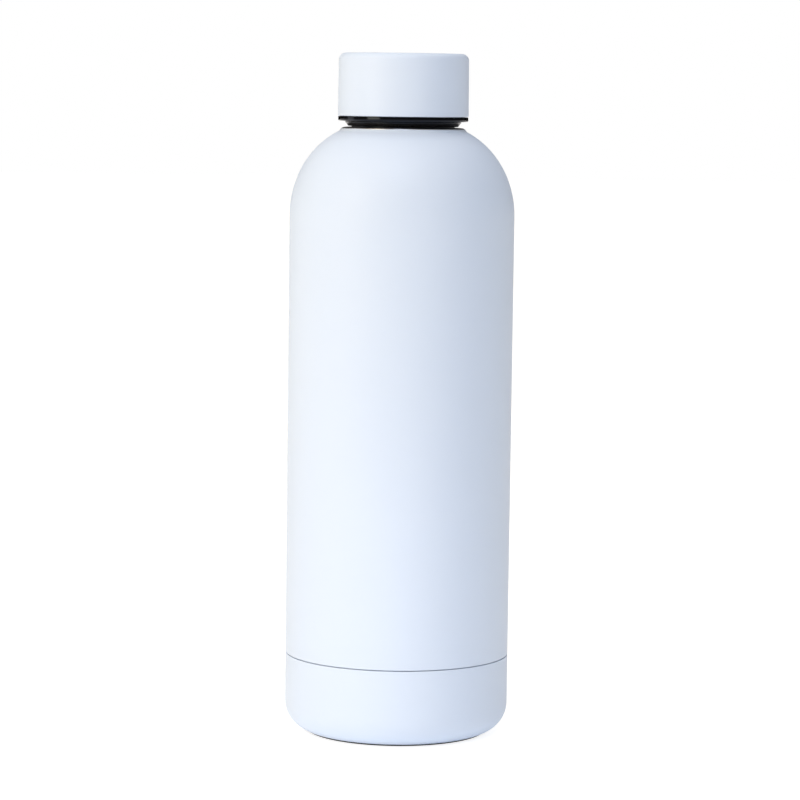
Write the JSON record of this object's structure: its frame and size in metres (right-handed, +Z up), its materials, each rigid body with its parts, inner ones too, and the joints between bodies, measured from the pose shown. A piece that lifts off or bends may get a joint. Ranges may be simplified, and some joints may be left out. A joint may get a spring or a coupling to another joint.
{
  "type": "insulated water bottle",
  "caption": "Double-walled steel water bottle with a domed shoulder, a round cap on a screw thread, a black seal under it and a non-slip foot ring.",
  "frame": {"origin": "centre of the foot ring's underside, on the surface the bottle stands on", "axes": "+Z up along the bottle's axis; X and Y are alike, and the front view looks along +Y"},
  "size_m": [0.07, 0.07, 0.2122],
  "materials": {
    "soft_touch_paint": "matte",
    "bare_steel": "polished",
    "black_plastic": "gloss",
    "black_silicone": "satin",
    "copper": "satin",
    "white_foam": "matte",
    "clear_adhesive": "satin",
    "solder_glass": "gloss",
    "getter_alloy": "matte"
  },
  "bodies": {
    "bottle": {"inner_liner": "bare_steel", "liner_bottom": "bare_steel", "copper_foil": "copper", "outer_shell": "soft_touch_paint", "outer_bottom": "bare_steel", "seal_bead": "solder_glass", "getter_cup": "bare_steel", "getter_tablet": "getter_alloy", "base_bond_ring": "clear_adhesive", "base_cup": "soft_touch_paint", "foot_ring": "black_silicone"},
    "seal": {"lid_gasket": "black_silicone"},
    "cap": {"cap_shell": "soft_touch_paint", "cap_insert": "black_plastic", "plug": "black_plastic", "plug_foam": "white_foam", "cap_foam": "white_foam", "cap_bond_ring": "clear_adhesive"}
  },
  "joints": [
    {"name": "cap_lift", "type": "slide", "parent": "bottle", "child": "seal", "axis": [0, 0, 1], "range_m": [0, 0.0401]},
    {"name": "cap_turn", "type": "hinge", "parent": "seal", "child": "cap", "pos_m": [0, 0, 0.19], "axis": [0, 0, 1], "range_deg": [0, 3600]}
  ],
  "couplings": [
    {"joint": "cap_lift", "follows": "cap_turn", "m_per_rad": 0.00063662}
  ]
}
